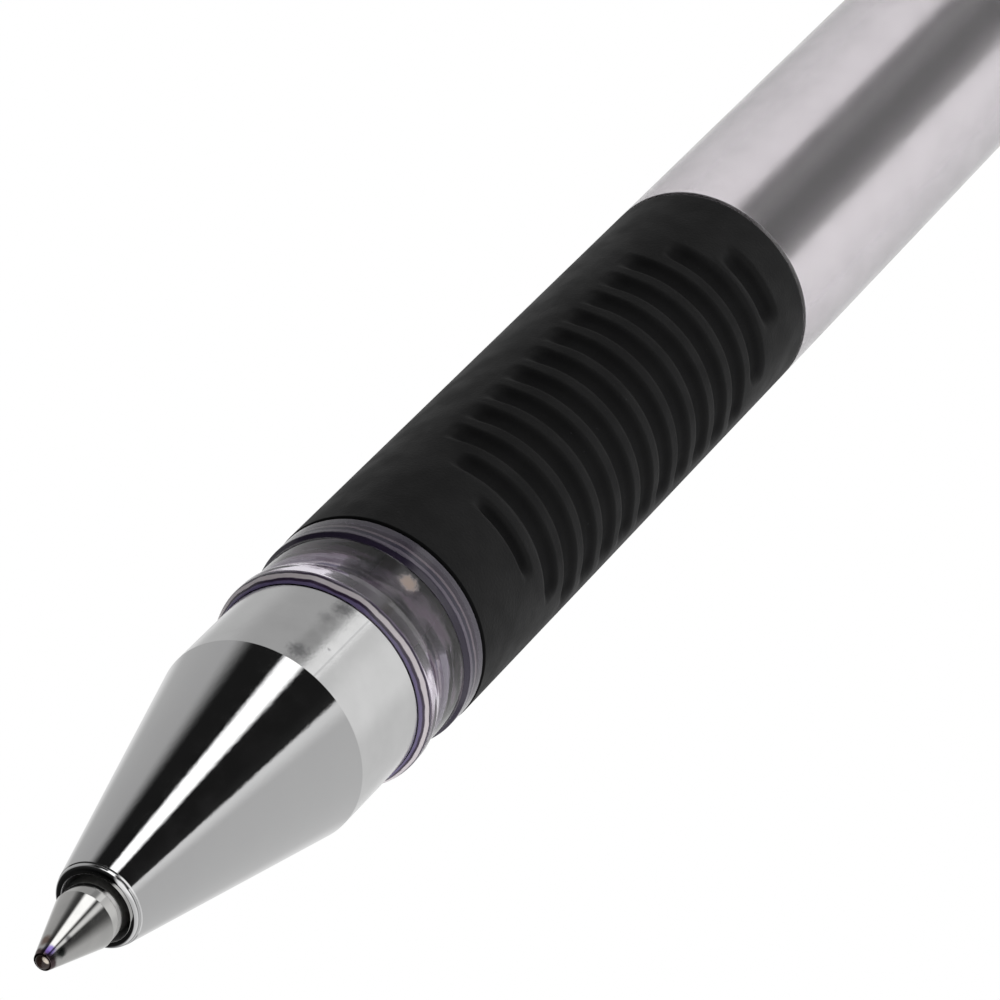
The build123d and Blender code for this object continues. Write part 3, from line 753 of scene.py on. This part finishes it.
def make_camera():
    """The camera, with the pen's writing tip at the lower left and its barrel leaving the frame."""
    aim = Vector((1.8, 0, 0))
    lens_to_pen = 49.03 * PEN_RADIUS
    to_the_right, upwards = 3.288 * PEN_RADIUS, 3.3212 * PEN_RADIUS
    data = bpy.data.cameras.new("camera")
    data.lens = 234
    data.sensor_width = 36
    data.clip_start = 0.01
    data.clip_end = 100
    camera = bpy.data.objects.new("camera", data)
    camera.rotation_euler = Matrix((VIEW_RIGHT, VIEW_UP, -VIEW)).transposed().to_euler()
    camera.location = (aim - VIEW * lens_to_pen + VIEW_RIGHT * to_the_right
                       + VIEW_UP * upwards) * MM
    bpy.context.scene.collection.objects.link(camera)
    bpy.context.scene.camera = camera


def make_floor():
    """A plain pale floor under the pen. The chrome reflects the surround's lower half instead."""
    size = 4.0
    floor = mesh_object("floor", [(-size, -size, 0), (size, -size, 0), (size, size, 0),
                                  (-size, size, 0)], [(0, 1, 2, 3)])
    floor.location = (0, 0, CAD_LOW.z)
    floor.visible_glossy = False
    finish = Finish("pale_floor")
    glow = finish.node("ShaderNodeEmission", Color=(1, 1, 1, 1))
    finish.tree.links.new(glow.outputs[0], finish.tree.nodes["Material Output"].inputs["Surface"])
    floor.data.materials.append(finish.material)


class Sky:
    """The surrounding light, as arithmetic on the direction that a ray leaves in."""

    def __init__(self):
        world = bpy.data.worlds.new("studio")
        bpy.context.scene.world = world
        world.use_nodes = True
        self.tree = world.node_tree
        self.direction = self.tree.nodes.new("ShaderNodeTexCoord").outputs["Generated"]

    def feed(self, sockets, values):
        """Links each socket to an output, or sets its value."""
        for socket, value in zip(sockets, values):
            if isinstance(value, bpy.types.NodeSocket):
                self.tree.links.new(value, socket)
            else:
                socket.default_value = value

    def math(self, operation, *values):
        """One arithmetic operation."""
        made = self.tree.nodes.new("ShaderNodeMath")
        made.operation = operation
        self.feed(made.inputs, values)
        return made.outputs[0]

    def along(self, vector):
        """The direction's part along a vector."""
        made = self.tree.nodes.new("ShaderNodeVectorMath")
        made.operation = "DOT_PRODUCT"
        self.tree.links.new(self.direction, made.inputs[0])
        made.inputs[1].default_value = vector
        return made.outputs["Value"]

    def step(self, value, low, high):
        """0 below low, 1 above high, and smooth between them."""
        made = self.tree.nodes.new("ShaderNodeMapRange")
        made.interpolation_type = "SMOOTHSTEP"
        self.feed(made.inputs, (value, low, high))
        return made.outputs[0]

    def between(self, value, low, low_edge, high, high_edge):
        """1 between low and high, with soft edges."""
        above = self.step(value, low - low_edge, low + low_edge)
        beyond = self.step(value, high - high_edge, high + high_edge)
        return self.math("MULTIPLY", above, self.math("SUBTRACT", 1.0, beyond))


# Patches of light and shade round the pen: (from an angle, its soft edge), (to an angle, its soft
# edge), (from a reach, to a reach), their soft edge, and how bright or how dark. Angles go round the
# pen: 0 is TOWARDS and 90 is ACROSS. A reach is the sine of the angle away from square-on, towards
# the pen's rear. Each named reach is the one that this part of the pen reflects to the camera.
MOUTH_REACH = (-1.2, -0.02)
TIP_REACH = (0.10, 0.30)
CONE_REACH = (0.30, 0.60)
BAND_REACH = (0.62, 1.0)

# Soft panels
PANELS = (
    ((15, 15), (150, 15), (0.30, 1.0), 0.015, 0.12),
    ((15, 15), (150, 15), (0.0, 0.30), 0.015, 0.04),
    ((150, 14), (200, 14), (0.30, 1.0), 0.015, 0.25),
    ((-200, 14), (-150, 14), (0.30, 1.0), 0.015, 0.25),
    ((-15, 14), (70, 14), (0.60, 1.0), 0.06, 0.14),
    ((16, 9), (32, 9), CONE_REACH, 0.015, 0.28),
)
# Dark flags in front of the panels, with the share of light that they stop
FLAGS = (
    ((-78, 12), (21.5, 2), (0.30, 0.58), 0.015, 0.97),
    ((-84, 20), (57, 25), (0.04, 0.30), 0.015, 0.86),
    ((-100, 14), (-26, 6), BAND_REACH, 0.05, 0.22),
    ((-44, 3), (-26, 3), BAND_REACH, 0.05, 0.25),
    ((-200, 8), (-12, 8), MOUTH_REACH, 0.04, 0.9),
    ((160, 10), (200, 8), MOUTH_REACH, 0.04, 0.9),
)
# Strip lights that shine past the flags
STRIPS = (
    ((-37.5, 3), (-19.5, 3), CONE_REACH, 0.015, 1.6),
    ((-52, 6), (-17, 6), TIP_REACH, 0.015, 1.5),
    ((-5, 6), (12, 6), TIP_REACH, 0.015, 0.85),
    ((-22, 3), (-4, 3), BAND_REACH, 0.05, 0.30),
    ((-12, 10), (150, 10), MOUTH_REACH, 0.06, 0.6),
    ((-12, 10), (40, 15), MOUTH_REACH, 0.06, 0.35),
)
FRONT_LEVEL, REAR_GAIN = 0.30, 0.30     # the even light behind the patches
THROUGH_LEVEL = 0.95                    # what is seen through clear plastic


def make_studio_light():
    """Soft panels and dark flags round the pen, and narrow strip lights shining past them."""
    sky = Sky()
    ahead = sky.along((1, 0, 0))
    around = sky.math("MULTIPLY", sky.math("ARCTAN2", sky.along(ACROSS), sky.along(TOWARDS)),
                      180 / pi)

    def patch(first, last, reach, reach_edge, share):
        """One patch's brightness in every direction."""
        shape = sky.math("MULTIPLY", sky.between(around, *first, *last),
                         sky.between(ahead, reach[0], reach_edge, reach[1], reach_edge))
        return sky.math("MULTIPLY", shape, share)

    level = sky.math("ADD", FRONT_LEVEL, sky.math("MULTIPLY", ahead, REAR_GAIN))
    for panel in PANELS:
        level = sky.math("ADD", level, patch(*panel))
    for flag in FLAGS:
        level = sky.math("MULTIPLY", level, sky.math("SUBTRACT", 1.0, patch(*flag)))
    for strip in STRIPS:
        level = sky.math("ADD", level, patch(*strip))
    path = sky.tree.nodes.new("ShaderNodeLightPath")
    through = sky.math("MULTIPLY", path.outputs["Is Transmission Ray"], THROUGH_LEVEL)
    level = sky.math("MAXIMUM", level, sky.math("MAXIMUM", path.outputs["Is Camera Ray"], through))
    background = sky.tree.nodes["Background"]
    background.inputs["Color"].default_value = (1, 1, 1, 1)
    sky.tree.links.new(level, background.inputs["Strength"])


make_refill()
make_nose()
make_barrel()
make_grip()
make_plug()
make_cap()
polish_clip()
make_camera()
make_floor()
make_studio_light()
bpy.context.scene.view_settings.view_transform = "Standard"

bpy.context.view_layer.update()
